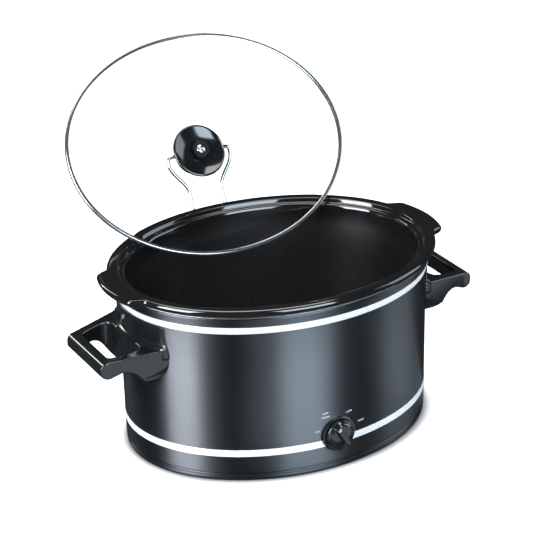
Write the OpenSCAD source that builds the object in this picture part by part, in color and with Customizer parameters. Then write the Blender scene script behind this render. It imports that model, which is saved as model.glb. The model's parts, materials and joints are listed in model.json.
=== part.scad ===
// Oval slow cooker with a stoneware crock, a domed glass lid and a folding wire lid rest.
// The lid stands propped: its lower edge is inside the crock and the wire hangs behind the crock's rim.
// Origin: middle of the foot ring, on the surface the cooker stands on. +X long axis, -Y front, +Z up.

/* [Housing] */
// Half of the housing's length at the upper stripe
half_length = 180; // [178:0.5:182]
// Half of the housing's width at the upper stripe
half_width = 142; // [140:0.5:144]
// Height of the wrap's top edge above the table
wrap_top = 197; // [196.6:0.1:197.2]
// How far the wrap leans in from the upper stripe down to the lower one
wrap_lean = 1.6; // [0:0.1:2.4]
// How far the top of the wrap flares out, from just under the upper stripe
flare = 5; // [3:0.1:5.2]
// Steel sheet thickness
sheet = 0.8; // [0.6:0.1:1]
// Height of each trim stripe
stripe_h = 8.2; // [6:0.2:9]
// Height of the base ring
base_h = 9; // [8.6:0.1:9.2]

/* [Crock] */
// Height of the crock's rim above the table
rim_top = 208.6; // [208:0.1:209.4]
// Height of the cooking floor above the table
floor_z = 66; // [65:0.5:70]
// Reach of an end lug from the middle, at its centre
lug_reach = 203.5; // [202:0.5:208]
// Half width of an end lug
lug_half = 43; // [40:1:48]

/* [Lid] */
// Half of the lid's length, to the middle of its steel rim
lid_a = 171.5; // [170.5:0.1:172]
// Half of the lid's width, to the middle of its steel rim
lid_b = 132.2; // [131.4:0.1:132.6]
// Height of the glass dome over the rim
dome_h = 24.6; // [22:0.1:25]
// Glass thickness
glass_t = 3.6; // [3:0.1:3.7]
// Lean of the propped lid, from level
lid_tilt = 52; // [51.8:0.1:52.4]
// Diameter of the wire of the lid rest
wire_d = 4.2; // [3:0.1:4.4]
// Length of the lid rest, from its pivot
rest_length = 84; // [80:1:86]
// Lean of the lid rest, from upright
rest_lean = 22.3; // [21.8:0.1:22.4]

/* [Handles] */
// Reach of a handle's grip from the middle
grip_reach = 235; // [232:0.5:238]
// Half width of a handle at its grip
grip_half = 45.5; // [43:0.5:47]

/* [Control] */
// Height of the dial's axis above the table
dial_z = 43.4; // [43:0.1:44]
// Radius of the dial's backing disc
bezel_r = 20; // [19:0.5:21]
// Radius of the control knob's skirt
knob_r = 16.5; // [16:0.1:17.2]

/* [Hidden] */
segs = 72;
upper_z = 182;
lower_z = 34;
flare_z = 176;
// The lid leans about its own middle, which lies here.
lid_mid = [0, 154.3, 285.2];
// Height of the lid rest's pivot over the lid's rim plane, in the lid's own frame
pivot_h = 32;
wire_r = wire_d / 2;
pivot_pos = lid_mid + pivot_h * [0, sin(lid_tilt), -cos(lid_tilt)];
dial_y = -half_width + 1.5;
gland_z = 18;
gap = 0.05;
// Half the distance between a handle's two screws, and their height
screw_y = 44;
screw_z = 132;
plate_t = 1.6;
shaft_r = 3;
nut_r = 7;
grip_r = 9.5;
// The heater band's lower edge and height, and the strap that holds it
heater_z = 84;
heater_h = 36;
strap_z = 97;
strap_h = 10;
ear_y = half_width - 8;
// The fuse lies across under the liner, and the block and the switch's tabs take the leads.
fuse_y = -30;
fuse_z = 53.2;
fuse_half = 14;
lead_r = 1.3;
block_at = [46, 96, 5.9];
tab_x = 10.5;
// Heights in the level lid's own frame: the knob's disc, its neck and the knob screw's hole
disc_z = 27;
disc_r = 32;
neck_r = 13;

// ---- outlines and lofts ----

// Offset of the leaning wrap's outer face at a height
function lean(z) = -wrap_lean * (upper_z - z) / (upper_z - lower_z)
  + flare * max(0, z - flare_z) / (wrap_top - flare_z);
// An oval at offset d from the housing's outline
function oval(d, z) = [for (i = [0 : segs - 1])
  [(half_length + d) * cos(360 * i / segs), (half_width + d) * sin(360 * i / segs), z]];
function flat_oval(d) = [for (p = oval(d, 0)) [p.x, p.y]];
// A share t of the lid's oval, plus an offset d
function lid_oval(t, d, z) = [for (i = [0 : segs - 1])
  [(lid_a * t + d) * cos(360 * i / segs), (lid_b * t + d) * sin(360 * i / segs), z]];
function arc_points(centre, r, from, to, n) = [for (i = [0 : n]) let (t = from + (to - from) * i / n)
  centre + r * [cos(t), sin(t)]];

// Skins a stack of rings that runs up the outside. closed joins the last ring to the first;
// otherwise the first and last rings are capped.
module loft(rings, closed = true) {
  n = len(rings[0]);
  m = len(rings);
  last = closed ? m - 1 : m - 2;
  sides = [for (r = [0 : last], i = [0 : n - 1], half = [0, 1])
    let (a = r * n + i, b = r * n + (i + 1) % n, up = ((r + 1) % m) * n)
    half == 0 ? [a, up + (i + 1) % n, b] : [a, up + i, up + (i + 1) % n]];
  caps = closed ? [] : [[for (i = [0 : n - 1]) i], [for (i = [n - 1 : -1 : 0]) (m - 1) * n + i]];
  polyhedron([for (ring = rings) each ring], concat(sides, caps));
}
module oval_loft(profile, closed = true) loft([for (p = profile) oval(p[0], p[1])], closed);
module oval_slab(d, z, h) translate([0, 0, z]) linear_extrude(h) polygon(flat_oval(d));
module oval_ring(outer, inner, z, h) translate([0, 0, z]) linear_extrude(h) difference() {
  polygon(flat_oval(outer));
  polygon(flat_oval(inner));
}
// A band that follows the leaning wrap, from offset d0 to d1 beyond it
module stripe(mid_z, d0, d1) {
  lo = mid_z - stripe_h / 2;
  hi = mid_z + stripe_h / 2;
  oval_loft([[lean(lo) + d1, lo], [lean(hi) + d1, hi], [lean(hi) + d0, hi], [lean(lo) + d0, lo]]);
}
// A round tube along a path; up is any direction that the path never follows
module tube(path, r, up, sides = 10) {
  m = len(path);
  rings = [for (i = [0 : m - 1])
    let (t = path[min(i + 1, m - 1)] - path[max(i - 1, 0)],
         u = cross(t, up) / norm(cross(t, up)),
         v = cross(t, u) / norm(t))
    [for (k = [0 : sides - 1]) path[i] + r * (cos(360 * k / sides) * u + sin(360 * k / sides) * v)]];
  loft(rings, closed = false);
}
function bezier(a, b, c, d, n) = [for (i = [0 : n]) let (t = i / n, s = 1 - t)
  s * s * s * a + 3 * s * s * t * b + 3 * s * t * t * c + t * t * t * d];
module along_x(r, x0, x1) translate([x0, 0, 0]) rotate([0, 90, 0]) cylinder(h = x1 - x0, r = r, $fn = 48);
module along_y(r, y0, y1) translate([0, y1, 0]) rotate([90, 0, 0]) cylinder(h = y1 - y0, r = r, $fn = 48);

// ---- housing ----

module housing_wrap() color("#33383b") difference() {
  levels = [base_h + 0.2, flare_z, wrap_top];
  outer = [for (z = levels) [lean(z), z]];
  oval_loft(concat(outer, [for (i = [2 : -1 : 0]) outer[i] - [sheet, 0]]));
  translate([0, 0, dial_z]) along_y(5.3, -half_width - 5, -half_width + 15);
  translate([0, 0, gland_z]) along_y(7.6, half_width - 15, half_width + 5);
  for (side = [0, 1], y = [-screw_y, screw_y]) mirror([side, 0, 0]) translate([0, y, screw_z])
    along_x(2.3, 150, 190);
}
module upper_stripe() color("#e6e8ea") stripe(upper_z, 0.03, 0.45);
module lower_stripe() color("#e6e8ea") difference() {
  stripe(lower_z, 0.03, 0.45);
  translate([0, 0, dial_z]) along_y(bezel_r + 0.3, -half_width - 10, -half_width + 20);
}
module base_ring() color("#1c1e20") {
  oval_ring(-5.4, -13.5, 0, 2.4);
  oval_ring(-3.6, -13.5, 2.4, 2.5);
  oval_ring(-2.3, -8.4, 4.9, base_h - 4.9);
}
module base_plate() color("#8d9194") difference() {
  oval_slab(-8.6, 5, 0.8);
  translate([0, 0, 4]) cylinder(h = 3, r = 2.7, $fn = 48);
}
module tie_bolt() color("#b9bcc0") translate([0, 0, 1.2]) cylinder(h = 54.9, r = 2.5, $fn = 48);
module tie_nut() color("#b9bcc0") translate([0, 0, 1.6]) difference() {
  cylinder(h = 3.3, r = 5.2, $fn = 6);
  translate([0, 0, -1]) cylinder(h = 6, r = 2.55, $fn = 48);
}
module cord_gland() color("#17181a") translate([0, half_width, gland_z]) difference() {
  union() {
    along_y(7.4, -12, 0.5);
    along_y(9.5, -0.9, 3);
  }
  along_y(3.5, -13, 4);
}

// ---- heating ----

// Outer face of the liner's wall at a height
function liner_wall(z) = -16 + 12.6 * (z - 80) / 116;

module heating_liner() color("#b4b7ba") oval_loft([[-48, 56.2], [-32, 57.6], [-20.5, 66], [-16, 80],
  [-3.4, 196], [-3.4, wrap_top + 0.1], [flare + 0.9, wrap_top + 0.1], [flare + 0.9, wrap_top + 0.8],
  [-4.1, wrap_top + 0.8], [-4.1, 196], [-16.7, 80], [-21.2, 66.4], [-32.3, 58.3], [-48, 56.9]],
  closed = false);
// A band on the liner's wall, from offset d0 to d1 beyond it
module wall_band(lo, hi, d0, d1) oval_loft([[liner_wall(lo) + d1, lo], [liner_wall(hi) + d1, hi],
  [liner_wall(hi) + d0, hi], [liner_wall(lo) + d0, lo]]);
module heater_band() color("#c9bfa6") wall_band(heater_z, heater_z + heater_h, 0.15, 1.35);
module heater_strap() color("#a9adb0") difference() {
  union() {
    wall_band(strap_z, strap_z + strap_h, 1.4, 1.9);
    for (s = [-1, 1]) translate([s * 5 - 0.75, ear_y - 3.7, strap_z + 0.5]) cube([1.5, 6.7, strap_h - 1]);
  }
  translate([0, ear_y, strap_z + strap_h / 2]) along_x(1.6, -8, 8);
}
module strap_screw() color("#c4c7ca") translate([0, ear_y, strap_z + strap_h / 2]) {
  along_x(1.5, -8, 6);
  along_x(2.6, 5.8, 8);
}
// Two square studs on the heater band, at the front
module heater_terminals() color("#d0c9b8") {
  terminal_y = -(half_width - 11) * sqrt(1 - pow(65 / (half_length - 11), 2)) - 5.2;
  for (s = [-1, 1]) translate([s * 60 - 5, terminal_y, heater_z]) cube([10, 3, 10]);
}
module thermal_fuse() color("#d8d2c4") translate([0, fuse_y, fuse_z]) along_x(2, -fuse_half, fuse_half);
module fuse_clip() color("#a9adb0") translate([-9, fuse_y, fuse_z]) difference() {
  translate([0, -4.5, -2.8]) cube([18, 9, 5.7]);
  translate([-1, -2.1, -2.1]) cube([20, 4.2, 6]);
}
module terminal_block() color("#e4dfd0") translate(block_at) difference() {
  cube([28, 16, 13]);
  for (x = [7, 21]) translate([x, 8, 7]) along_y(1.6, -9, 9);
}
// A lead from one end to the other, pulled towards two points on its way
module lead(from, pull, pull_2, to) tube(bezier(from, pull, pull_2, to, 14), lead_r, [0.3, 0, 1], 8);
fuse_end = [fuse_half + 0.9, fuse_y, fuse_z];
tab_end = [tab_x, -half_width + 20.7, dial_z - 5.4];
module live_lead() color("#2b2b2b")
  lead(block_at + [7, -0.2, 7], [50, 40, 13], [40, fuse_y, 46], fuse_end);
module neutral_lead() color("#e9e9e6")
  lead(block_at + [21, -0.2, 7], [70, 30, 12], [60, -60, 14], tab_end);
module switch_lead() color("#b02a22") mirror([1, 0, 0])
  lead(fuse_end, [50, fuse_y, 42], [50, -80, 36], tab_end);

// ---- handles ----

// Side view of the right handle: x outward, z up
handle_side = concat(
  [[150, 101], [176, 104], [181, 106.5], [184.5, 110.5], [188.5, 117], [193, 123.5], [199, 128.6],
    [206, 131.2], [212.5, 130.4]],
  arc_points([grip_reach - grip_r, 135], grip_r, -115, 76, 12),
  [[150, 154]]);
// End view: y across, z up. The lower corners are quarters of an oval.
handle_end = let (half = concat([[58.3, 178], [59.5, 162], [62, 150]],
    [for (i = [0 : 15]) [20, 143] + [43 * cos(6 * i), -39.5 * sin(6 * i)]]))
  concat(half, [for (i = [len(half) - 1 : -1 : 0]) [-half[i].x, half[i].y]]);
// Top view, with the finger opening
module handle_plan() difference() {
  polygon([[150, -64.5], [161, -62], [grip_reach - 9, -grip_half - 0.5], [grip_reach - 3, -grip_half + 2],
    [grip_reach, -grip_half + 8], [grip_reach, grip_half - 8], [grip_reach - 3, grip_half - 2],
    [grip_reach - 9, grip_half + 0.5], [161, 62], [150, 64.5]]);
  polygon([[183.6, -35], [188, -40.6], [196, -41], [grip_reach - 20, -36.5], [grip_reach - 14.5, -33],
    [grip_reach - 14.5, 33], [grip_reach - 20, 36.5], [196, 41], [188, 40.6], [183.6, 35], [184.8, 17.5],
    [185.2, 0], [184.8, -17.5]]);
}
// A thick bracket with a grip bar, and a thin flange that lies against the wrap up to the stripe
module handle() difference() {
  union() {
    intersection() {
      translate([0, 0, 90]) linear_extrude(100) handle_plan();
      rotate([90, 0, 0]) linear_extrude(140, center = true) polygon(handle_side);
      rotate([90, 0, 90]) linear_extrude(300) polygon(handle_end);
    }
    intersection() {
      oval_ring(2, 0, 145, 32);
      translate([150, 0, 0]) rotate([90, 0, 90]) linear_extrude(60) polygon(handle_end);
    }
  }
  oval_slab(0.25, 90, 100);
  for (y = [-screw_y, screw_y]) translate([0, y, screw_z]) along_x(2, 150, 174);
}
module left_handle() color("#16171a") mirror([1, 0, 0]) handle();
module right_handle() color("#16171a") handle();
module handle_plates() color("#8d9194") for (s = [0, 1]) mirror([s, 0, 0]) difference() {
  intersection() {
    oval_ring(-1.5, -1.5 - plate_t, screw_z - 9, 18);
    translate([100, -54, 100]) cube([100, 108, 100]);
  }
  for (y = [-screw_y, screw_y]) translate([0, y, screw_z]) along_x(2.3, 150, 190);
}
module handle_screws() color("#b9bcc0") for (s = [0, 1], y = [-screw_y, screw_y])
  mirror([s, 0, 0]) translate([0, y, screw_z]) {
  along_x(1.95, 165.8, 173.8);
  along_x(3.6, 164, 166);
}

// ---- control ----

module dial_bezel() color("#121315") translate([0, dial_y, dial_z]) difference() {
  along_y(bezel_r, -3.4, -0.6);
  along_y(nut_r + 0.6, -4, 0);
}
module switch_nut() color("#c4c7ca") translate([0, dial_y, dial_z]) difference() {
  rotate([90, 0, 0]) translate([0, 0, 1.3]) cylinder(h = 2.2, r = nut_r, $fn = 6);
  along_y(5.05, -5, 0);
}
module switch_body() color("#d9d4c6") translate([0, dial_y, dial_z]) difference() {
  union() {
    translate([-15, 2, -11]) cube([30, 13, 22]);
    along_y(5, -3.6, 3);
  }
  along_y(shaft_r + gap, -5, 11);
}
module switch_terminals() color("#c8a24a") for (x = [-tab_x, tab_x])
  translate([x - 2.5, dial_y + 15.1, dial_z - 8]) cube([5, 2.4, 5]);
module switch_shaft() color("#c4c7ca") translate([0, dial_y, dial_z]) along_y(shaft_r, -14.8, 10.6);
module knob_spring() color("#c4c7ca") translate([0, dial_y, dial_z]) difference() {
  along_y(3.9, -10, -6);
  along_y(shaft_r + 0.02, -11, -5);
}
module control_knob() color("#0f1012") translate([0, dial_y, dial_z]) rotate([0, -30, 0]) difference() {
  union() {
    along_y(knob_r, -7.6, -3.9);
    along_y(knob_r - 1.9, -10.4, -7.4);
    intersection() {
      along_y(knob_r + 0.9, -17.2, -3.9);
      translate([-4.5, -17.2, -18]) cube([9, 12, 36]);
    }
  }
  along_y(4, -10.1, -3);
  along_y(shaft_r + gap, -15, -10);
  along_y(nut_r + 1.6, -5.4, -3);
}

// ---- crock ----

// Half length of the rim at a distance y from the middle of an end lug
function lug_x(y) = lug_reach - 8 * pow(y / lug_half, 2);
function lug_share(y) = max(0, min(1, (lug_half + 5 - abs(y)) / 6));
// A rim oval at offset d, with the end lugs
function lugged(d, z) = [for (p = oval(d, z)) let (s = sign(p.x), reach = lug_x(p.y) + d - 10.7)
  abs(p.y) < lug_half + 5 && abs(p.x) > 100
    ? [s * (abs(p.x) + max(0, reach - abs(p.x)) * lug_share(p.y)), p.y, p.z] : p];

module crock() color("#141416") loft(concat(
  [for (q = [[-45, floor_z - 8], [-30, floor_z - 5.5], [-21, floor_z + 3], [-17, floor_z + 16],
    [-5.5, wrap_top - 1], [-5.2, wrap_top + 1.4]]) oval(q[0], q[1])],
  [for (q = [[3, rim_top - 8.8], [8.4, rim_top - 7.8], [10.5, rim_top - 5], [10.7, rim_top - 3],
    [9.4, rim_top - 0.7], [7.2, rim_top]]) lugged(q[0], q[1])],
  [for (q = [[-1.6, rim_top], [-2.4, rim_top - 0.6], [-2.8, rim_top - 5], [-8.2, rim_top - 5.4],
    [-9.4, rim_top - 7.4], [-22.5, floor_z + 18], [-27, floor_z + 6], [-38, floor_z + 0.5],
    [-54, floor_z]]) oval(q[0], q[1])]), closed = false);

// ---- lid, drawn level with the knob up and then leaned back ----

module leaned() translate(lid_mid) rotate([lid_tilt, 0, 0]) rotate([0, 180, 0]) children();
// Outer surface of the glass over the rim plane, at a share t of the lid's oval
function dome(t) = 1.8 + dome_h * (1 - t * t);

module lid_glass() color("#dfe8ea", 0.35) leaned() difference() {
  loft(concat(
    [for (t = [0.1, 0.3, 0.5, 0.7, 0.85, 0.95]) lid_oval(t, 0, dome(t) - glass_t)],
    [lid_oval(1, -2.5, -1.7), lid_oval(1, 0.5, -1.7), lid_oval(1, 0.5, 1.7), lid_oval(1, -2.5, 1.8)],
    [for (t = [0.95, 0.85, 0.7, 0.5, 0.3, 0.1]) lid_oval(t, 0, dome(t))]), closed = false);
  cylinder(h = 40, r = 3.2, $fn = 48);
}
module lid_rim() color("#c8cacc") leaned() loft([for (q = [[0.3, -2.75], [1.6, -1.9], [1.95, 0], [1.6, 1.9],
  [0.3, 2.75], [-2.3, 2.5], [-2.3, 1.95], [0.6, 1.8], [0.6, -1.8], [-2.3, -1.8], [-2.3, -2.45]])
  lid_oval(1, q[0], q[1])]);
// A disc against the glass, a neck that holds the wire's ends, and a rounded cap
module lid_knob() color("#15161a") leaned() difference() {
  rotate_extrude($fn = 96) polygon(concat(
    [[0, disc_z], [disc_r - 0.9, disc_z - 0.1], [disc_r + 0.1, disc_z + 0.6], [disc_r + 0.1, disc_z + 1.4],
      [disc_r - 1.1, disc_z + 2.2], [neck_r + 2, disc_z + 2.6], [neck_r, disc_z + 4], [neck_r, disc_z + 10]],
    arc_points([neck_r + 3.5, disc_z + 18], 7, -100, 30, 8),
    arc_points([0, disc_z - 5], 35, 52, 90, 6)));
  translate([0, 0, disc_z - 1]) cylinder(h = 19, r = 2.45, $fn = 48);
  for (s = [-1, 1]) translate([0, 0, pivot_h]) along_x(wire_r + gap, s < 0 ? -16 : 8, s < 0 ? -8 : 16);
}
washer_t = 2.2;
washer_z = dome(0.1) - glass_t - washer_t - 0.05;
module knob_seal() color("#2a2c2e") leaned() translate([0, 0, dome(0.1) + 0.02]) difference() {
  cylinder(h = disc_z - 0.14 - dome(0.1), r = 9, $fn = 48);
  translate([0, 0, -1]) cylinder(h = 3, r = 3.2, $fn = 48);
}
// A stepped washer under the glass, with a recess for the screw's head
module knob_washer() color("#2a2c2e") leaned() translate([0, 0, washer_z]) difference() {
  cylinder(h = washer_t, r = 10, $fn = 64);
  translate([0, 0, -1]) cylinder(h = washer_t + 2, r = 2.6, $fn = 48);
  translate([0, 0, -1]) cylinder(h = 2.5, r = 5.7, $fn = 48);
}
module knob_screw() color("#c4c7ca") leaned() translate([0, 0, washer_z + 1.45]) difference() {
  union() {
    translate([0, 0, -2]) cylinder(h = 2, r1 = 4, r2 = 5.3, $fn = 48);
    cylinder(h = 21, r = 2.4, $fn = 48);
  }
  for (a = [0, 90]) rotate(a) translate([-2.8, -0.6, -3]) cube([5.6, 1.2, 2]);
}

// Half width of the wire at a distance s along its legs
function rest_half(s) = 20.8 + 19.2 * (s < 8 ? 1 : s > 46 ? 0 : (1 + cos(180 * (s - 8) / 38)) / 2);
rest_outline = let (leg = concat([[34, 0]], arc_points([35, 5], 5, -75, 0, 5),
    [for (s = [8 : 3.8 : 46]) [rest_half(s), s]], [[20.8, rest_length - 12]],
    arc_points([8.8, rest_length - 12], 12, 15, 90, 5)))
  concat(leg, [for (i = [len(leg) - 1 : -1 : 0]) [-leg[i].x, leg[i].y]]);
module lid_rest() color("#c8cacc") translate(pivot_pos) rotate([-rest_lean, 0, 0]) {
  tube([for (p = rest_outline) [p.x, 0, -p.y]], wire_r, [0, 1, 0], 10);
  for (s = [-1, 1]) along_x(wire_r, s < 0 ? -34.2 : 8.4, s < 0 ? -8.4 : 34.2);
}

housing_wrap();
upper_stripe();
lower_stripe();
base_ring();
base_plate();
tie_bolt();
tie_nut();
heating_liner();
heater_band();
heater_strap();
strap_screw();
heater_terminals();
thermal_fuse();
fuse_clip();
terminal_block();
live_lead();
neutral_lead();
switch_lead();
cord_gland();
left_handle();
right_handle();
handle_plates();
handle_screws();
switch_body();
switch_terminals();
switch_nut();
dial_bezel();
control_knob();
switch_shaft();
knob_spring();
crock();
lid_glass();
lid_rim();
lid_knob();
knob_seal();
knob_washer();
knob_screw();
lid_rest();
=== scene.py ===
import json
import math

import bmesh
import bpy
from mathutils import Matrix, Vector

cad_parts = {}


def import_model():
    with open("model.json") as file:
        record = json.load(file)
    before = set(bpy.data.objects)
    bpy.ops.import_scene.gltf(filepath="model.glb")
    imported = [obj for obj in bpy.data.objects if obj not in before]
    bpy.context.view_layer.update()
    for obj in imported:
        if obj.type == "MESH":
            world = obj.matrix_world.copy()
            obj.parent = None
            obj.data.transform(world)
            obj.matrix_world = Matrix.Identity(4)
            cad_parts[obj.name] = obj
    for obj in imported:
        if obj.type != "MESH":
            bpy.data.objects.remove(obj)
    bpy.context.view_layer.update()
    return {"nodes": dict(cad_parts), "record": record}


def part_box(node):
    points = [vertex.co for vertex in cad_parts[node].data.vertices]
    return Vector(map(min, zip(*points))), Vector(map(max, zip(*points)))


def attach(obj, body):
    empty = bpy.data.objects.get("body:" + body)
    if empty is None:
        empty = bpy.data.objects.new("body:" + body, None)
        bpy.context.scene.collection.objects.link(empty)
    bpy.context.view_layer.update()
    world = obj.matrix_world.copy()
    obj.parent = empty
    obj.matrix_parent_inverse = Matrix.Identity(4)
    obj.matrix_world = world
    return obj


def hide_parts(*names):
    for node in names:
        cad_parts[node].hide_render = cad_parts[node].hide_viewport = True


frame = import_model()

MM = 0.001
NODE_SLOT = {part["node"]: part["material_slot"] for part in frame["record"]["subparts"]}
JOINT_POS = {j["name"]: Vector(j["pos_m"]) for j in frame["record"]["behaviour"]["joints"] if "pos_m" in j}

# ---- places and sizes, from the CAD nodes, in metres ----

WRAP_LOW, WRAP_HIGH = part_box("housing_wrap")
CROCK_LOW, CROCK_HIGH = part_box("crock")
# The wrap flares out by this much from just under the upper stripe to its top edge, ever steeper.
FLARE = 5 * MM
FLARE_FROM = 176 * MM
FLARE_POWER = 1.2
HALF_LENGTH = WRAP_HIGH.x - FLARE
HALF_WIDTH = WRAP_HIGH.y - FLARE
WRAP_TOP = WRAP_HIGH.z
WRAP_BOTTOM = WRAP_LOW.z
# Below the flare, the wrap's outline shrinks by this much for each metre down.
LEAN = 0.0108
RIM_TOP = CROCK_HIGH.z
LUG_REACH = CROCK_HIGH.x
CROCK_FLOOR = CROCK_LOW.z + 8 * MM
UPPER_STRIPE = [corner.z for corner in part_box("upper_stripe")]
LOWER_STRIPE = [corner.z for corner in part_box("lower_stripe")]
DIAL = JOINT_POS["dial_turn"]
DIAL_RADIUS = 20 * MM
REST_PIVOT = JOINT_POS["rest_fold"]
LID_LOW, LID_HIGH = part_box("lid_rim")
LID_MIDDLE = (LID_LOW + LID_HIGH) / 2
LID_TILT = math.radians(52)
# The lid's own frame. Its z points out of the dome at the knob: back and down, while the lid is propped.
LID_FRAME = (Matrix.Translation(LID_MIDDLE) @ Matrix.Rotation(LID_TILT, 4, "X")
             @ Matrix.Rotation(math.pi, 4, "Y"))
GRIP_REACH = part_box("right_handle")[1].x


def lean(z):
    """Offset of the wrap's outer face from its nominal outline, at a height."""
    rise = max(0, z - FLARE_FROM) / (WRAP_TOP - FLARE_FROM)
    return -LEAN * (WRAP_TOP - z) + FLARE * rise ** FLARE_POWER


# ---- materials ----

def new_material(name, color, roughness, metallic=0.0, **sockets):
    """A Principled material. Further sockets go by their names, with _ for each space."""
    material = bpy.data.materials.new(name)
    material.use_nodes = True
    shader = material.node_tree.nodes["Principled BSDF"]
    shader.inputs["Base Color"].default_value = (*color, 1)
    shader.inputs["Roughness"].default_value = roughness
    shader.inputs["Metallic"].default_value = metallic
    for socket, value in sockets.items():
        shader.inputs[socket.replace("_", " ")].default_value = value
    return material


def add_node(material, kind, **values):
    """A node whose sockets or settings take the given values."""
    node = material.node_tree.nodes.new(kind)
    for key, value in values.items():
        if key in node.inputs:
            node.inputs[key].default_value = value
        else:
            setattr(node, key, value)
    return node


def link(material, output, target):
    material.node_tree.links.new(output, target)


def shader_of(material):
    return material.node_tree.nodes["Principled BSDF"]


def noise(material, scale, detail=4.0, stretch=(1, 1, 1)):
    """Noise in object space. scale is in features per metre, and stretch scales each axis."""
    place = add_node(material, "ShaderNodeTexCoord")
    mapping = add_node(material, "ShaderNodeMapping", Scale=stretch)
    texture = add_node(material, "ShaderNodeTexNoise", Scale=scale, Detail=detail)
    link(material, place.outputs["Object"], mapping.inputs["Vector"])
    link(material, mapping.outputs["Vector"], texture.inputs["Vector"])
    return texture.outputs["Fac"]


def remap(material, value, low, high, start=0, end=1):
    """Maps the span from start to end onto the span from low to high, and holds the value beyond its ends."""
    spread = add_node(material, "ShaderNodeMapRange")
    for socket, number in (("From Min", start), ("From Max", end), ("To Min", low), ("To Max", high)):
        spread.inputs[socket].default_value = number
    link(material, value, spread.inputs["Value"])
    return spread.outputs["Result"]


def vary_roughness(material, value, low, high):
    """Lets a texture's value from 0 to 1 run the roughness from low to high."""
    link(material, remap(material, value, low, high), shader_of(material).inputs["Roughness"])


def vary_color(material, value, low, high):
    """Lets a texture's value run the colour from low to high."""
    ramp = add_node(material, "ShaderNodeValToRGB")
    ramp.color_ramp.elements[0].position = 0.3
    ramp.color_ramp.elements[1].position = 0.7
    ramp.color_ramp.elements[0].color = (*low, 1)
    ramp.color_ramp.elements[1].color = (*high, 1)
    link(material, value, ramp.inputs["Fac"])
    link(material, ramp.outputs["Color"], shader_of(material).inputs["Base Color"])


def add_bump(material, value, height, strength=0.5):
    """Lets a texture's value raise the surface by up to the height."""
    bump = add_node(material, "ShaderNodeBump", Strength=strength, Distance=height)
    link(material, value, bump.inputs["Height"])
    link(material, bump.outputs["Normal"], shader_of(material).inputs["Normal"])


def brushed_round(name, color, roughness, metallic, sheen):
    """A material with fine marks that run round the housing, so that its highlights stand upright."""
    material = new_material(name, color, roughness, metallic, Anisotropic=sheen, Anisotropic_Rotation=0.25)
    tangent = add_node(material, "ShaderNodeTangent", direction_type="RADIAL", axis="Z")
    link(material, tangent.outputs["Tangent"], shader_of(material).inputs["Tangent"])
    return material


def wrap_paint():
    """Dark pearl paint over brushed steel."""
    material = brushed_round("wrap_paint", (0.19, 0.2, 0.21), 0.36, 1.0, 0.92)
    grain = noise(material, 260, 3, (0.25, 0.25, 14))
    vary_roughness(material, grain, 0.33, 0.39)
    vary_color(material, noise(material, 2200, 2), (0.18, 0.19, 0.2), (0.21, 0.22, 0.23))
    return material


def stripe_paint():
    """Silver paint with the wrap's own brushed sheen."""
    material = brushed_round("stripe", (0.62, 0.64, 0.68), 0.4, 0.35, 0.8)
    grain = noise(material, 300, 3, (0.3, 0.3, 12))
    vary_roughness(material, grain, 0.36, 0.46)
    vary_color(material, grain, (0.58, 0.60, 0.65), (0.68, 0.70, 0.73))
    return material


def foot_plastic():
    """Dark moulded plastic with a metallic fleck and the wrap's upright highlights."""
    material = brushed_round("base_plastic", (0.12, 0.13, 0.14), 0.34, 0.97, 0.9)
    vary_roughness(material, noise(material, 200, 3, (0.3, 0.3, 10)), 0.3, 0.4)
    vary_color(material, noise(material, 1500, 2), (0.10, 0.11, 0.12), (0.13, 0.14, 0.15))
    return material


def black_plastic():
    """Glossy moulded plastic with faint flow marks and fine orange peel."""
    material = new_material("black_plastic", (0.005, 0.006, 0.006), 0.12, 0.0, Specular_IOR_Level=1.0)
    vary_roughness(material, noise(material, 60, 5), 0.10, 0.15)
    vary_color(material, noise(material, 40), (0.004, 0.005, 0.005), (0.006, 0.007, 0.007))
    add_bump(material, noise(material, 350, 2), 0.004 * MM, 0.25)
    return material


def crock_glaze():
    """Black glaze over stoneware: glassy along the rim, and satin lower down where food and spoons rub it."""
    material = new_material("crock_glaze", (0.005, 0.005, 0.005), 0.07, 0.0, Specular_IOR_Level=1.0)
    place = add_node(material, "ShaderNodeTexCoord")
    axes = add_node(material, "ShaderNodeSeparateXYZ")
    link(material, place.outputs["Object"], axes.inputs["Vector"])
    total = add_node(material, "ShaderNodeMath", operation="ADD")
    rubbed = remap(material, axes.outputs["Z"], 0, 0.2, RIM_TOP - 10 * MM, RIM_TOP - 30 * MM)
    coat = remap(material, noise(material, 35, 5), 0.05, 0.09)
    link(material, rubbed, total.inputs[0])
    link(material, coat, total.inputs[1])
    link(material, total.outputs["Value"], shader_of(material).inputs["Roughness"])
    vary_color(material, noise(material, 500, 6), (0.0045, 0.0045, 0.0045), (0.0055, 0.005, 0.005))
    add_bump(material, noise(material, 60, 2), 0.02 * MM, 0.15)
    return material


def clear_glass():
    """Thin clear glass with a low index, so that what stands behind the lid isn't shifted much."""
    material = new_material("lid_glass", (0.985, 0.995, 0.992), 0.0, 0.0, Transmission_Weight=1.0, IOR=1.12)
    vary_roughness(material, noise(material, 14), 0.0, 0.012)
    return material


def metal(name, color, rough, scale, metallic=1.0):
    """Bare or plated metal with a little grain. rough is its lowest and highest roughness."""
    material = new_material(name, color, rough[0], metallic)
    grain = noise(material, scale, 5)
    vary_roughness(material, grain, *rough)
    vary_color(material, grain, tuple(0.92 * c for c in color), color)
    return material


def dull(name, low, high, rough=(0.5, 0.7), scale=300, bump=0.05 * MM):
    """Rubber, mineral or print, whose colour runs from low to high."""
    material = new_material(name, high, rough[0])
    grain = noise(material, scale, 6)
    vary_roughness(material, grain, *rough)
    vary_color(material, grain, low, high)
    add_bump(material, grain, bump)
    return material


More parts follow.
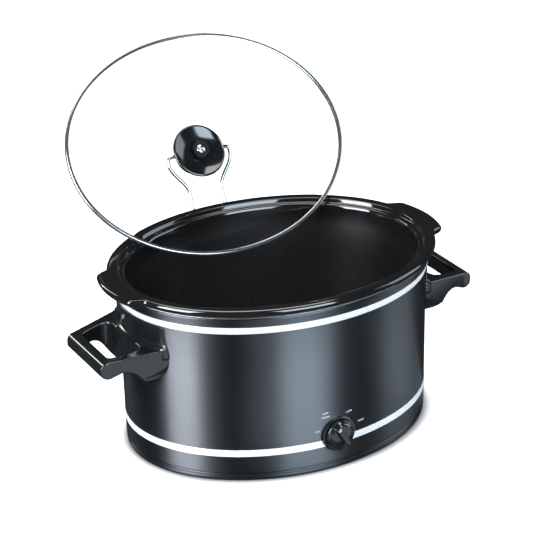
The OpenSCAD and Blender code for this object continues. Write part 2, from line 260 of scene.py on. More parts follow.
MATERIALS = {
    "wrap_paint": wrap_paint(),
    "stripe": stripe_paint(),
    "black_plastic": black_plastic(),
    "base_plastic": foot_plastic(),
    "plated_steel": metal("plated_steel", (0.62, 0.63, 0.65), (0.12, 0.22), 500),
    "aluminised_steel": metal("aluminised_steel", (0.55, 0.56, 0.57), (0.36, 0.55), 120),
    "mica": dull("mica", (0.42, 0.36, 0.25), (0.64, 0.57, 0.42)),
    "ceramic_block": dull("ceramic_block", (0.70, 0.67, 0.60), (0.84, 0.82, 0.76)),
    "lead_black": dull("lead_black", (0.015, 0.015, 0.015), (0.04, 0.04, 0.04), (0.4, 0.55), 900),
    "lead_white": dull("lead_white", (0.70, 0.70, 0.68), (0.82, 0.82, 0.80), (0.4, 0.55), 900),
    "lead_red": dull("lead_red", (0.40, 0.04, 0.03), (0.60, 0.08, 0.06), (0.4, 0.55), 900),
    "crock_glaze": crock_glaze(),
    "lid_glass": clear_glass(),
    "chrome": metal("chrome", (0.48, 0.49, 0.50), (0.10, 0.18), 400, metallic=0.93),
    "silicone": dull("silicone", (0.003, 0.003, 0.003), (0.006, 0.006, 0.007), (0.3, 0.4), 700),
    "brass_tab": metal("brass_tab", (0.72, 0.55, 0.26), (0.2, 0.35), 500),
}
PRINT = dull("dial_print", (0.38, 0.40, 0.41), (0.50, 0.51, 0.52), (0.45, 0.55), 2000, 0.01 * MM)

for node_name, node_object in frame["nodes"].items():
    node_object.data.materials.clear()
    node_object.data.materials.append(MATERIALS[NODE_SLOT[node_name]])

# ---- mesh helpers ----

# Points round the housing's and the lid's ovals
SEGMENTS = 240


def make_object(name, vertices, faces, material, crease=35):
    """An object in the scene, with its faces turned outwards."""
    mesh = bpy.data.meshes.new(name)
    mesh.from_pydata([tuple(v) for v in vertices], [], faces)
    tidy = bmesh.new()
    tidy.from_mesh(mesh)
    bmesh.ops.recalc_face_normals(tidy, faces=tidy.faces)
    tidy.to_mesh(mesh)
    tidy.free()
    piece = bpy.data.objects.new(name, mesh)
    bpy.context.scene.collection.objects.link(piece)
    finish_mesh(piece, material, crease)
    return piece


def finish_mesh(piece, material, crease=35):
    """Smooth shading, with sharp edges where faces meet at more than the crease's angle in degrees."""
    piece.data.shade_smooth()
    piece.data.set_sharp_from_angle(angle=math.radians(crease))
    if material:
        piece.data.materials.clear()
        piece.data.materials.append(material)


def keep(piece, body, slot, *nodes):
    """Rides the piece on its body, and hides the CAD nodes that it stands for. The slot is not used."""
    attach(piece, body)
    if nodes:
        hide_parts(*nodes)


def skin(rings, closed):
    """Faces between neighbouring rings. A closed stack joins its last ring to its first."""
    count = len(rings[0])
    faces = []
    for r in range(len(rings) if closed else len(rings) - 1):
        a = r * count
        b = (r + 1) % len(rings) * count
        faces += [(a + i, a + (i + 1) % count, b + (i + 1) % count, b + i) for i in range(count)]
    if not closed:
        faces.append(tuple(range(count)))
        faces.append(tuple(range((len(rings) - 1) * count, len(rings) * count)))
    return faces


def loft(name, rings, material, closed=True, crease=35):
    """A skin over a stack of rings. An open stack gets a face at each end."""
    return make_object(name, [p for ring in rings for p in ring], skin(rings, closed), material, crease)


def oval(offset, z, count=SEGMENTS):
    """A ring at an offset from the wrap's nominal outline."""
    angles = [math.tau * i / count for i in range(count)]
    return [((HALF_LENGTH + offset) * math.cos(t), (HALF_WIDTH + offset) * math.sin(t), z) for t in angles]


def turned(name, profile, material, place, closed=True, count=96, crease=35):
    """A profile of (radius, height) turned round z, and put in place."""
    rings = [[place @ Vector((r * math.cos(math.tau * i / count), r * math.sin(math.tau * i / count), h))
              for i in range(count)] for r, h in profile]
    return loft(name, rings, material, closed, crease)


def facing_front(place):
    """A frame with its z pointing at the front."""
    return Matrix.Translation(place) @ Matrix.Rotation(math.pi / 2, 4, "X")


def arc(centre, radius, start, end, steps):
    """Points on an arc, in degrees."""
    angles = [math.radians(start + (end - start) * i / steps) for i in range(steps + 1)]
    return [(centre[0] + radius * math.cos(t), centre[1] + radius * math.sin(t)) for t in angles]


def millimetres(points):
    """Points given in millimetres, in metres."""
    return [tuple(value * MM for value in point) for point in points]


def mirrored(half):
    """An outline from its half, mirrored in the line where the second number is 0."""
    return half + [(first, -second) for first, second in reversed(half)]


def rounded(points, radius, steps=5):
    """An outline with each corner rounded. radius is one number, or one for each corner."""
    out = []
    for i, corner in enumerate(points):
        here = Vector(corner)
        back = Vector(points[i - 1]) - here
        ahead = Vector(points[(i + 1) % len(points)]) - here
        wanted = radius[i] if isinstance(radius, list) else radius
        reach = min(wanted, 0.45 * back.length, 0.45 * ahead.length)
        start = here + back.normalized() * reach
        end = here + ahead.normalized() * reach
        for k in range(steps + 1):
            t = k / steps
            out.append(tuple((1 - t) ** 2 * start + 2 * t * (1 - t) * here + t * t * end))
    return out


def prism(name, outline, axis, low, high):
    """An outline extruded along an axis. The outline's two numbers are the other two axes, in their order."""
    def point(p, level):
        values = list(p)
        values.insert("xyz".index(axis), level)
        return values
    rings = [[point(p, low) for p in outline], [point(p, high) for p in outline]]
    return loft(name, rings, None, closed=False)


def combine(target, tool, operation):
    """Boolean of two objects, applied to the target. The tool is deleted."""
    modifier = target.modifiers.new("combine", "BOOLEAN")
    modifier.operation = operation
    modifier.solver = "EXACT"
    modifier.object = tool
    apply_modifiers(target)
    bpy.data.objects.remove(tool)


def apply_modifiers(piece):
    """Makes the modifiers' result the piece's own mesh."""
    depsgraph = bpy.context.evaluated_depsgraph_get()
    mesh = bpy.data.meshes.new_from_object(piece.evaluated_get(depsgraph))
    piece.modifiers.clear()
    old = piece.data
    piece.data = mesh
    mesh.name = piece.name
    bpy.data.meshes.remove(old)


def soften(piece, voxel, passes, share):
    """Rounds every edge of a solid: a fine remesh, a few smoothing passes, and fewer faces again."""
    remesh = piece.modifiers.new("remesh", "REMESH")
    remesh.mode = "VOXEL"
    remesh.voxel_size = voxel
    smooth = piece.modifiers.new("smooth", "SMOOTH")
    smooth.factor = 0.5
    smooth.iterations = passes
    reduce = piece.modifiers.new("reduce", "DECIMATE")
    reduce.ratio = share
    apply_modifiers(piece)


def mesh_from_curve(name, curve):
    """A mesh piece from a text or a bevelled curve."""
    maker = bpy.data.objects.new("maker", curve)
    bpy.context.scene.collection.objects.link(maker)
    mesh = bpy.data.meshes.new_from_object(maker.evaluated_get(bpy.context.evaluated_depsgraph_get()))
    bpy.data.objects.remove(maker)
    piece = bpy.data.objects.new(name, mesh)
    bpy.context.scene.collection.objects.link(piece)
    return piece


# ---- housing ----

def housing_wrap():
    """The painted sheet: an outer face between two rolled edges, and its inner face."""
    hem = 0.45 * MM
    sheet = 0.8 * MM
    low, high = WRAP_BOTTOM, WRAP_TOP
    profile = arc((lean(low) - hem, low + hem), hem, -90, 0, 4)
    levels = [low + 3 * MM, low + 60 * MM, low + 120 * MM] + [FLARE_FROM + 2.5 * MM * i for i in range(8)]
    profile += [(lean(z), z) for z in levels]
    profile += arc((lean(high) - hem, high - hem), hem, 0, 90, 4)
    profile += [(lean(high) - sheet, high)] + [(lean(z) - sheet, z) for z in reversed(levels)]
    profile += [(lean(low) - sheet, low)]
    wrap = loft("wrap_sheet", [oval(*p) for p in profile], MATERIALS["wrap_paint"])
    keep(wrap, "housing", "wrap_paint", "housing_wrap")


def stripe(name, span, node):
    """A flat band that stands a little proud of the wrap. The lower one is cut away round the dial plate."""
    low, high = span
    proud = 0.45 * MM
    back = 0.05 * MM
    edge = 0.3 * MM
    foot = lean(low)
    head = lean(high)
    profile = [(foot + back, low), (foot + proud - edge, low), (foot + proud, low + edge),
               (head + proud, high - edge), (head + proud - edge, high), (head + back, high)]
    band = loft(name, [oval(*p) for p in profile], MATERIALS["stripe"])
    if node == "lower_stripe":
        gap_radius = DIAL_RADIUS + 0.3 * MM
        gap = turned("dial_gap", [(gap_radius, -20 * MM), (gap_radius, 20 * MM)], None,
                     facing_front(DIAL), closed=False)
        combine(band, gap, "DIFFERENCE")
        finish_mesh(band, MATERIALS["stripe"])
    keep(band, "housing", "stripe", node)


def base_ring():
    """The moulded foot: a rounded band under a shadow groove, with a narrow bead along its middle."""
    top = WRAP_BOTTOM - 1.1 * MM
    face = lean(0) - 0.5 * MM
    back = -13.2 * MM
    bead = face + 0.35 * MM
    corner = 0.5 * MM
    profile = [(back, 0), (-7.2 * MM, 0)]
    profile += arc((face - 3.2 * MM, 3.4 * MM), 3.4 * MM, -80, 0, 6)
    profile += [(face, 4.4 * MM), (bead, 4.7 * MM), (bead, 5.2 * MM), (face, 5.5 * MM)]
    profile += [(face, top - corner), (face - corner, top), (face - 6 * MM, top), (back, top - 3.5 * MM)]
    ring = loft("foot_ring", [oval(*p) for p in profile], MATERIALS["base_plastic"])
    keep(ring, "housing", "base_plastic", "base_ring")


def heating_liner():
    """The pan that holds the crock, with its rolled flange on the wrap's edge."""
    top = WRAP_TOP / MM
    brim = FLARE / MM - 1.6
    profile = [(-60, 56.2), (-48, 56.3), (-34, 57.2), (-26.5, 60.5), (-20.5, 67.5), (-17.2, 76), (-16, 80)]
    profile += [(-9.7, 138), (-3.5, top - 1), (-3.2, top + 0.1)]
    profile += [(brim, top + 0.1), (brim + 0.2, top + 0.45), (brim, top + 0.8)]
    profile += [(-3.6, top + 0.8), (-4.2, top - 1), (-10.4, 138)]
    profile += [(-16.7, 80), (-17.9, 76.4), (-21.1, 68), (-27, 61.2), (-34.3, 57.9), (-48, 57), (-60, 56.9)]
    rings = [oval(*p) for p in millimetres(profile)]
    liner = loft("liner_pan", rings, MATERIALS["aluminised_steel"], closed=False)
    keep(liner, "housing", "aluminised_steel", "heating_liner")


def cord_gland():
    """A round grommet at the back with a stepped collar and a waist."""
    low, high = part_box("cord_gland")
    middle = (low + high) / 2
    place = Matrix.Translation((middle.x, high.y, middle.z)) @ Matrix.Rotation(-math.pi / 2, 4, "X")
    profile = [(3.5, -15), (7.2, -15), (7.4, -14.6), (7.4, -3.9), (9.1, -3.9), (9.5, -3.5), (9.5, -1.8)]
    profile += [(8.9, -1.0), (6.9, -0.9), (6.4, -0.2), (5.2, 0), (4.0, 0), (3.5, -0.5)]
    gland = turned("cord_grommet", millimetres(profile), MATERIALS["base_plastic"], place, count=64)
    keep(gland, "housing", "base_plastic", "cord_gland")


# ---- handles ----

GRIP_RADIUS = 9.5 * MM
GRIP_HEIGHT = 135 * MM


def handle_profile():
    """Seen from the front: the shelf, whose underside swings up and out to the round grip bar.

    It starts inside the wrap, whose place is cut out of the handle at the end.
    """
    underside = [(150, 101), (176, 104), (181, 106.8), (184.5, 110.5), (188.5, 117), (193, 123.4)]
    underside += [(199, 128.6), (206, 131.2), (212.5, 130.4)]
    grip_bar = arc((GRIP_REACH - GRIP_RADIUS, GRIP_HEIGHT), GRIP_RADIUS, -115, 76, 16)
    return millimetres(underside) + grip_bar + millimetres([(150, 154)])


def handle_shield():
    """Seen from the end: nearly upright sides over a round foot."""
    half = [(58.3, 177.9), (59.5, 162), (62, 150)]
    for degrees in range(0, 91, 5):
        turn = math.radians(degrees)
        half.append((20 + 43 * math.cos(turn), 143 - 39.5 * math.sin(turn)))
    return millimetres(half + [(-y, z) for y, z in reversed(half)])


def handle_plan():
    """Seen from above: the shelf narrows towards the grip bar and has round outer corners."""
    nose = 9 * MM
    half = millimetres([(150, -64.5), (161, -62)])
    half += [(GRIP_REACH - nose, -46 * MM), (GRIP_REACH, -45 * MM)]
    radii = [0.1 * MM, 1 * MM, 8 * MM, nose]
    return rounded(mirrored(half), radii + radii[::-1], 6)


def finger_opening():
    """Seen from above: an opening that bows along the wrap."""
    reach = GRIP_REACH / MM
    half = [(183.6, -35), (188, -40.6), (196, -41), (reach - 20, -36.5), (reach - 14.5, -33)]
    wrap_side = [(184.8, 17.5), (185.2, 0), (184.8, -17.5)]
    return rounded(millimetres(mirrored(half) + wrap_side), 2.5 * MM)


def handle_flange():
    """The flange against the wrap, with the concave fillet that joins it to the shelf."""
    face = lean(165 * MM)
    low, high = 141 * MM, 177 * MM
    outline = [(face - 3 * MM, low), (face + 5.3 * MM, low)]
    outline += arc((face + 7 * MM, 158 * MM), 5 * MM, 250, 180, 8)
    outline += [(face + 1.9 * MM, high), (face - 3 * MM, high)]
    flange = loft("flange", [oval(*p) for p in outline], None)
    combine(flange, prism("shield", handle_shield(), "x", 130 * MM, 300 * MM), "INTERSECT")
    return flange


def handle(name, side, node):
    """A shelf that reaches out to a round grip bar, a finger opening, and a flange against the wrap."""
    shelf = prism(name, handle_profile(), "y", -70 * MM, 70 * MM)
    # Every cutter runs well past the shelf.
    combine(shelf, prism("plan", handle_plan(), "z", 90 * MM, 190 * MM), "INTERSECT")
    combine(shelf, prism("shield", handle_shield(), "x", 100 * MM, 300 * MM), "INTERSECT")
    combine(shelf, prism("hole", finger_opening(), "z", 80 * MM, 200 * MM), "DIFFERENCE")
    combine(shelf, handle_flange(), "UNION")
    gap = 0.2 * MM
    core = [oval(lean(z) + gap, z) for z in (80 * MM, FLARE_FROM, 200 * MM)]
    combine(shelf, loft("core", core, None, closed=False), "DIFFERENCE")
    soften(shelf, 0.8 * MM, 6, 0.5)
    if side < 0:
        shelf.data.transform(Matrix.Scale(-1, 4, (1, 0, 0)))
        shelf.data.flip_normals()
    finish_mesh(shelf, MATERIALS["black_plastic"], 70)
    keep(shelf, "housing", "black_plastic", node)


# ---- control ----

def dial_bezel():
    """A flat ring with a rounded edge and a shallow dish for the knob."""
    edge = DIAL_RADIUS / MM
    profile = [(7.6, 0.6), (edge - 0.6, 0.6), (edge, 1.0), (edge, 2.8), (edge - 0.5, 3.3), (edge - 1.6, 3.4)]
    profile += [(edge - 2.4, 3.2), (7.6, 3.2)]
    disc = turned("dial_plate", millimetres(profile), MATERIALS["black_plastic"], facing_front(DIAL))
    keep(disc, "housing", "black_plastic", "dial_bezel")


def control_knob():
    """A round skirt with a domed face and a raised, tapering grip bar across it, turned to its place."""
    skirt = [(8.6, 3.9), (16.0, 3.9), (16.5, 4.4), (16.5, 6.3), (16.2, 7.1), (15.4, 7.7), (14.2, 8.2)]
    skirt += [(13.0, 9.4), (11.6, 10.2), (9, 10.6), (5, 10.8), (0.1, 10.8), (0.1, 5.4), (8.6, 5.4)]
    knob = turned("control_knob_cap", millimetres(skirt), None, Matrix.Identity(4))
    half_length = 17.2 * MM
    bar_end = millimetres([(-4.4, 5), (4.4, 5), (3.6, 11), (2.5, 17), (-2.5, 17), (-3.6, 11)])
    end_radii = [0.1 * MM, 0.1 * MM, 3 * MM, 1.2 * MM, 1.2 * MM, 3 * MM]
    bar = prism("bar", rounded(bar_end, end_radii), "y", -half_length, half_length)
    side = millimetres([(-17.2, 3.9), (17.2, 3.9), (16.9, 10), (14.6, 15), (10.5, 17.1), (-10.5, 17.1),
                        (-14.6, 15), (-16.9, 10)])
    combine(bar, prism("side", rounded(side, 3 * MM), "x", -10 * MM, 10 * MM), "INTERSECT")
    tube = turned("tube", [(half_length, 0), (half_length, 30 * MM)], None, Matrix.Identity(4), closed=False)
    combine(bar, tube, "INTERSECT")
    combine(knob, bar, "UNION")
    soften(knob, 0.3 * MM, 3, 0.35)
    pointing = math.radians(30)
    knob.data.transform(facing_front(DIAL) @ Matrix.Rotation(pointing, 4, "Z"))
    finish_mesh(knob, MATERIALS["black_plastic"], 60)
    keep(knob, "dial", "black_plastic", "control_knob")


def dial_words():
    """Plain position words round the dial, each lying on the wrap."""
    # Each word with its middle's place to the right of the dial's centre and above it, in mm
    words = [("OFF", -24.8, 6.6), ("KEEP", -15.1, 26.9), ("WARM", -15.1, 22.3), ("LOW", 14.1, 22.1),
             ("HIGH", 30, 6.3)]
    for word, across, up in words:
        x = across * MM
        z = DIAL.z + up * MM
        outline_x = HALF_LENGTH + lean(z)
        outline_y = HALF_WIDTH + lean(z)
        y = -outline_y * math.sqrt(1 - (x / outline_x) ** 2)
        slope = math.atan2(x / outline_x ** 2, -y / outline_y ** 2)
        text = bpy.data.curves.new("word_" + word.lower(), "FONT")
        text.body = word
        text.size = 3.3 * MM
        text.align_x = "CENTER"
        text.align_y = "CENTER"
        text.extrude = 0.06 * MM
        piece = mesh_from_curve("word_" + word.lower(), text)
        proud = 0.12 * MM
        piece.data.transform(Matrix.Translation((x, y - proud, z)) @ Matrix.Rotation(slope, 4, "Z")
                             @ Matrix.Rotation(math.pi / 2, 4, "X"))
        finish_mesh(piece, PRINT)
        keep(piece, "housing", "stripe")


# ---- crock ----

# Offset of the lip's edge from the wrap's nominal outline. On the lugs, that edge lies at LUG_REACH.
LIP_OFFSET = 10.5 * MM
LUG_HALF = 43 * MM
# The lugs' ends are bowed, and fall back by this much at their corners.
LUG_BOW = 8 * MM
# Each lug's side joins the oval over this width, which starts a little outside the lug.
LUG_BLEND = 9 * MM
LUG_MARGIN = 6 * MM


def fine_oval(offset, z):
    """An oval with enough points for the lugs' corners."""
    return oval(offset, z, 2 * SEGMENTS)


def lugged(offset, z):
    """A rim ring with the two end lugs. offset is measured as for oval."""
    ring = []
    for x, y, height in fine_oval(offset, z):
        away = abs(y)
        if away < LUG_HALF + LUG_MARGIN and abs(x) > HALF_LENGTH / 2:
            share = min(1, max(0, (LUG_HALF + LUG_MARGIN - away) / LUG_BLEND))
            share = share * share * (3 - 2 * share)
            reach = LUG_REACH - LUG_BOW * (away / LUG_HALF) ** 2 + offset - LIP_OFFSET
            x = math.copysign(abs(x) + max(0, reach - abs(x)) * share, x)
        ring.append((x, y, height))
    return ring


def stack(ring, base, points):
    """Rings at offsets and heights in mm, with the heights measured from base."""
    return [ring(offset * MM, base + height * MM) for offset, height in points]


def crock():
    """From the underside out and up, over the lip with its lugs, and down the inside to the floor."""
    top = RIM_TOP
    lip = 4 * MM
    underside = [(-60, -8), (-45, -7.9), (-34, -6.6), (-26.5, -3), (-21.5, 2.5), (-18.6, 9), (-17, 16)]
    outer_wall = [(-11.2, -70), (-5.7, -12.6), (-5.4, -10.8), (-4, -9.6)]
    recess = [(-0.9, -0.5), (-1.7, -0.7), (-2.3, -1.3), (-2.8, -4.3), (-3.3, -5.0), (-4.1, -5.4)]
    recess += [(-7.4, -5.5), (-8.4, -5.9), (-9.2, -6.9), (-9.7, -9)]
    inner_wall = [(-16.2, -66)]
    bowl = [(-22.5, 18), (-24.2, 12), (-27.8, 6.6), (-33, 3), (-40, 0.9), (-50, 0.1), (-62, 0)]
    rings = stack(fine_oval, CROCK_FLOOR, underside) + stack(fine_oval, top, outer_wall)
    rings += stack(lugged, top, [(1.5, -8.9), (4.2, -8.4)])
    rings += [lugged(*p) for p in arc((LIP_OFFSET - lip, top - lip), lip, -80, 95, 12)]
    rings += stack(lugged, top, [(3, -0.25), (0.5, -0.45)])
    rings += stack(fine_oval, top, recess + inner_wall) + stack(fine_oval, CROCK_FLOOR, bowl)
    pot = loft("crock_pot", rings, MATERIALS["crock_glaze"], closed=False, crease=50)
    keep(pot, "crock_body", "crock_glaze", "crock")


# ---- lid ----

# Half length and half width of the ring through the middle of the steel rim's channel
RIM_A = (LID_HIGH.x - LID_LOW.x) / 2 - 1.95 * MM
RIM_B = RIM_A * 132.2 / 171.5
DOME = 24.6 * MM
DOME_FOOT = 1.8 * MM
GLASS = 3.6 * MM
# Height of the knob's disc over the rim's plane
DISC_Z = 27 * MM


def dome(share):
    """Height of the glass's outer face over the rim's plane, at a share of the way out from its middle."""
    return DOME_FOOT + DOME * (1 - share * share)


def lid_oval(share, offset, z):
    """A ring on the lid, at a share of the way out to the rim and an offset beyond it."""
    a = RIM_A * share + offset
    b = RIM_B * share + offset
    angles = [math.tau * i / SEGMENTS for i in range(SEGMENTS)]
    return [LID_FRAME @ Vector((a * math.cos(t), b * math.sin(t), z)) for t in angles]


def lid_glass():
    """A domed pane with a rounded edge and a hole for the knob's screw."""
    shares = [0.93, 0.84, 0.74, 0.62, 0.5, 0.38, 0.26, 0.16, 0.08]
    hole = 3.2 * MM
    edge = millimetres([(-1.0, -1.6), (0.3, -0.9), (0.3, 0.9), (-1.4, 2.0)])
    rings = [lid_oval(1, *p) for p in edge]
    rings += [lid_oval(s, 0, dome(s)) for s in shares]
    rings += [lid_oval(0, hole, dome(0)), lid_oval(0, hole, dome(0) - GLASS)]
    rings += [lid_oval(s, 0, dome(s) - GLASS) for s in reversed(shares)]
    glass = loft("lid_pane", rings, MATERIALS["lid_glass"], crease=60)
    # What stands behind the pane is lit, and mirrors the lamps, as if the pane weren't there.
    glass.visible_shadow = False
    glass.visible_glossy = False
    keep(glass, "lid", "lid_glass", "lid_glass")


def lid_rim():
    """A rolled steel channel round the glass."""
    inside = [(-1.6, 2.45), (-2.3, 2.1), (-1.2, 1.6), (0.7, 1.5), (0.7, -1.5), (-1.2, -1.6), (-2.3, -2.1),
              (-1.6, -2.45)]
    profile = arc((0, 0.8), 1.85, 0, 115, 8) + inside + arc((0, -0.8), 1.85, -115, 0, 8)
    rim = loft("lid_band", [lid_oval(1, *p) for p in millimetres(profile)], MATERIALS["chrome"], crease=50)
    keep(rim, "lid", "chrome", "lid_rim")


def lid_knob():
    """The knob that the wire's ends turn in: a disc with a soft edge, a neck, and a rounded cap."""
    seat = [(10.6, 0.9), (11.6, 0.2), (12.6, 0.1), (29.3, 0.1)]
    edge = arc((30.1, 1.1), 1.9, -90, 60, 8)
    neck = [(27.5, 3.0), (17.5, 3.5)] + arc((17, 7.5), 4, 262, 180, 6) + [(13, 10)]
    cap = arc((18, 17.5), 5.6, 240, 385, 10) + arc((0, -5), 35, 50, 89.6, 8) + [(0.05, 30)]
    screw_hole = [(0.05, 18), (2.5, 18), (2.5, 0.9)]
    profile = [(r * MM, DISC_Z + h * MM) for r, h in seat + edge + neck + cap + screw_hole]
    knob = turned("lid_knob_cap", profile, MATERIALS["black_plastic"], LID_FRAME, count=128, crease=50)
    keep(knob, "lid", "black_plastic", "lid_knob")


def knob_screw():
    """A domed head with a cross recess, and its shank."""
    seat = dome(0.1) - GLASS - 0.8 * MM
    turns = [math.radians(a) for a in range(15, 91, 15)]
    head = [(5.4 * math.sin(t), -0.7 - 2 * math.cos(t)) for t in turns]
    shank = [(5.3, -0.1), (2.4, 0), (2.4, 20.6), (2.0, 21), (0.02, 21)]
    profile = [(r * MM, seat + h * MM) for r, h in [(0.02, -2.7)] + head + shank]
    screw = turned("knob_screw_head", profile, None, Matrix.Identity(4), closed=False, count=64)
    slot_outline = rounded(millimetres([(-3, -0.6), (3, -0.6), (3, 0.6), (-3, 0.6)]), 0.3 * MM)
    for degrees in (20, 110):
        slot_arm = prism("arm", slot_outline, "z", seat - 4 * MM, seat - 1.2 * MM)
        slot_arm.data.transform(Matrix.Rotation(math.radians(degrees), 4, "Z"))
        combine(screw, slot_arm, "DIFFERENCE")
    screw.data.transform(LID_FRAME)
    finish_mesh(screw, MATERIALS["plated_steel"], 40)
    keep(screw, "lid", "plated_steel", "knob_screw")


# The wire rest's shape, in mm. Its legs stand wide beside the knob and draw in below it.
WIRE_RADIUS = 2.1
LEG_LENGTH = 84
LEG_GAP_LOW = 20.8
LEG_GAP_MORE = 19.2
SHOULDER_FROM = 8
SHOULDER_RUN = 38


def rest_half(along):
    """Half the gap between the wire's legs at a distance from the pivot, in mm."""
    fall = min(1, max(0, (along - SHOULDER_FROM) / SHOULDER_RUN))
    return LEG_GAP_LOW + LEG_GAP_MORE * (1 + math.cos(math.pi * fall)) / 2


def lid_rest():
    """One bent wire: two ends that turn in the knob, two legs, and a bottom with round corners."""
    lean_back = math.radians(22.3)
    corner = 12
    leg = [(8.4, 0), (20, 0), (33, 0)] + arc((35, 5), 5, -75, 0, 6)
    leg += [(rest_half(along), along) for along in range(8, 48, 3)] + [(LEG_GAP_LOW, LEG_LENGTH - corner)]
    leg += arc((LEG_GAP_LOW - corner, LEG_LENGTH - corner), corner, 15, 90, 6)
    outline = leg + [(-x, along) for x, along in reversed(leg)]
    place = Matrix.Translation(REST_PIVOT) @ Matrix.Rotation(-lean_back, 4, "X")
    path = [place @ Vector((x * MM, 0, -along * MM)) for x, along in outline]
    curve = bpy.data.curves.new("rest_wire_loop", "CURVE")
    curve.dimensions = "3D"
    curve.bevel_depth = WIRE_RADIUS * MM
    curve.bevel_resolution = 5
    curve.use_fill_caps = True
    spline = curve.splines.new("POLY")
    spline.points.add(len(path) - 1)
    for point, p in zip(spline.points, path):
        point.co = (*p, 1)
    piece = mesh_from_curve("rest_wire_loop", curve)
    finish_mesh(piece, MATERIALS["chrome"], 50)
    keep(piece, "rest_wire", "chrome", "lid_rest")


housing_wrap()
stripe("upper_band", UPPER_STRIPE, "upper_stripe")
stripe("lower_band", LOWER_STRIPE, "lower_stripe")
base_ring()
heating_liner()
cord_gland()
handle("right_grip_handle", 1, "right_handle")
handle("left_grip_handle", -1, "left_handle")
dial_bezel()
control_knob()
dial_words()
crock()
lid_glass()
lid_rim()
lid_knob()
knob_screw()
lid_rest()

# ---- studio ----

def floor():
    """A pale floor with a painted contact shadow: its colour and glow are painted darker close under the
    foot.
    """
    material = new_material("studio_floor", (0.9, 0.9, 0.9), 0.8, Emission_Color=(1, 1, 1, 1))
    # Painted shadow: occlusion darkens the floor's colour and glow close to the foot.
    near = add_node(material, "ShaderNodeAmbientOcclusion", Distance=13 * MM, samples=16)
    painted_shadow = add_node(material, "ShaderNodeMath", operation="POWER")
    painted_shadow.inputs[1].default_value = 2
    link(material, near.outputs["AO"], painted_shadow.inputs[0])
    for socket, top in (("Base Color", 0.9), ("Emission Strength", 0.4)):
        link(material, remap(material, painted_shadow.outputs["Value"], 0, top), shader_of(material).inputs[socket])
    corners = [(-5, -4, 0), (5, -4, 0), (5, 6, 0), (-5, 6, 0)]
    plane = make_object("studio_floor", corners, [(0, 1, 2, 3)], material)
    plane.visible_glossy = False


def panel_lamp(name, place, size, radiance, color):
    """A flat lamp that shows in mirror images, but not to the camera or through glass."""
    light = bpy.data.lights.new(name, "AREA")
    light.shape = "RECTANGLE"
    light.size, light.size_y = size
    light.energy = radiance * math.pi * size[0] * size[1]
    light.color = color
    lamp = bpy.data.objects.new(name, light)
    lamp.location = place
    lamp.visible_camera = False
    lamp.visible_transmission = False
    bpy.context.scene.collection.objects.link(lamp)
    return lamp


def softbox(name, azimuth, distance, height, size, radiance, color=(1, 1, 1)):
    """A softbox that looks at the object's middle. Azimuth is in degrees from +X, as seen from above."""
    turn = math.radians(azimuth)
    place = (distance * math.cos(turn), distance * math.sin(turn), height)
    lamp = panel_lamp(name, place, size, radiance, color)
    aim = Vector((0, 0, 0.12))
    lamp.rotation_euler = (aim - lamp.location).to_track_quat("-Z", "Y").to_euler()


def floor_bounce(name, place, size, radiance, lit_names):
    """The floor's soft upward light, on the named pieces alone."""
    lamp = panel_lamp(name, (*place, 4 * MM), size, radiance, (0.80, 0.92, 1.0))
    lamp.rotation_euler = (math.pi, 0, 0)
    lit = bpy.data.collections.new(name + "_lit")
    for lit_name in lit_names:
        lit.objects.link(bpy.data.objects[lit_name])
    lamp.light_linking.receiver_collection = lit


def spare_the_pane():
    """Keeps the lamps' very faint mirror images off the clear pane, where they only make specks."""
    spared = bpy.data.collections.new("pane_spared")
    spared.objects.link(bpy.data.objects["lid_pane"])
    spared.collection_objects[0].light_linking.link_state = "EXCLUDE"
    for lamp in [thing for thing in bpy.data.objects if thing.type == "LIGHT"]:
        if not lamp.light_linking.receiver_collection:
            lamp.light_linking.receiver_collection = spared


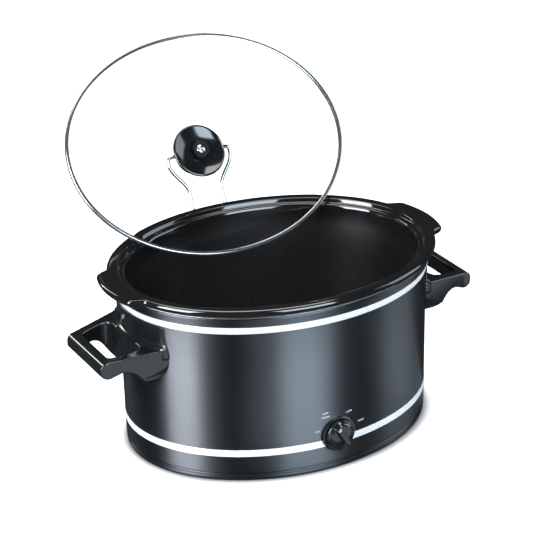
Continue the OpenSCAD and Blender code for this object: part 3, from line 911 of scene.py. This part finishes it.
def world():
    """A white room for the eye and for soft light, that gloss sees as a dim one."""
    room = bpy.data.worlds.new("studio")
    bpy.context.scene.world = room
    room.use_nodes = True
    tree = room.node_tree
    background = tree.nodes["Background"]
    path = tree.nodes.new("ShaderNodeLightPath")
    mix = tree.nodes.new("ShaderNodeMix")
    mix.data_type = "RGBA"
    mix.inputs["A"].default_value = (0.6, 0.6, 0.6, 1)
    mix.inputs["B"].default_value = (0.040, 0.046, 0.050, 1)
    tree.links.new(path.outputs["Is Glossy Ray"], mix.inputs["Factor"])
    tree.links.new(mix.outputs["Result"], background.inputs["Color"])


def camera():
    """The photograph's view: a long lens, from the front left and above."""
    azimuth = math.radians(-27.906)
    elevation = math.radians(24.063)
    roll = math.radians(-1.466)
    distance = 2.45665
    back = Vector((math.sin(azimuth) * math.cos(elevation), -math.cos(azimuth) * math.cos(elevation),
                   math.sin(elevation)))
    level = Vector((0, 0, 1)).cross(back).normalized()
    upright = back.cross(level)
    right = math.cos(roll) * level + math.sin(roll) * upright
    up = math.cos(roll) * upright - math.sin(roll) * level
    aim_right, aim_up = -0.01175, 0.17118
    target = aim_right * right + aim_up * up
    data = bpy.data.cameras.new("camera")
    data.lens = 144.32
    data.clip_start = 0.1
    data.clip_end = 50
    eye = bpy.data.objects.new("camera", data)
    axes = Matrix((right, up, back)).transposed().to_4x4()
    eye.matrix_world = Matrix.Translation(target + distance * back) @ axes
    bpy.context.scene.collection.objects.link(eye)
    bpy.context.scene.camera = eye


floor()
world()
softbox("left_box", -166, 1.6, 0.75, (0.85, 1.5), 13.6, color=(0.90, 0.93, 1.0))
softbox("front_box", -83, 1.7, 0.8, (0.95, 1.5), 7.4, color=(0.76, 0.88, 1.0))
softbox("right_box", -19, 1.7, 0.7, (0.9, 1.3), 2.7, color=(0.82, 0.92, 1.0))
softbox("top_box", 80, 0.5, 1.9, (1.5, 1.1), 4.5)
softbox("edge_strip", 117, 1.5, 0.85, (0.14, 0.9), 10)
floor_bounce("wide_bounce", (0, -0.8), (1.7, 1.2), 0.7,
             ["right_grip_handle", "left_grip_handle", "control_knob_cap", "dial_plate"])
floor_bounce("left_bounce", (-0.07, -0.275), (0.2, 0.17), 0.5, ["wrap_sheet", "foot_ring"])
floor_bounce("right_bounce", (0.27, -0.13), (0.2, 0.2), 0.25, ["wrap_sheet", "foot_ring"])
spare_the_pane()
camera()
bpy.context.scene.view_settings.view_transform = "Standard"
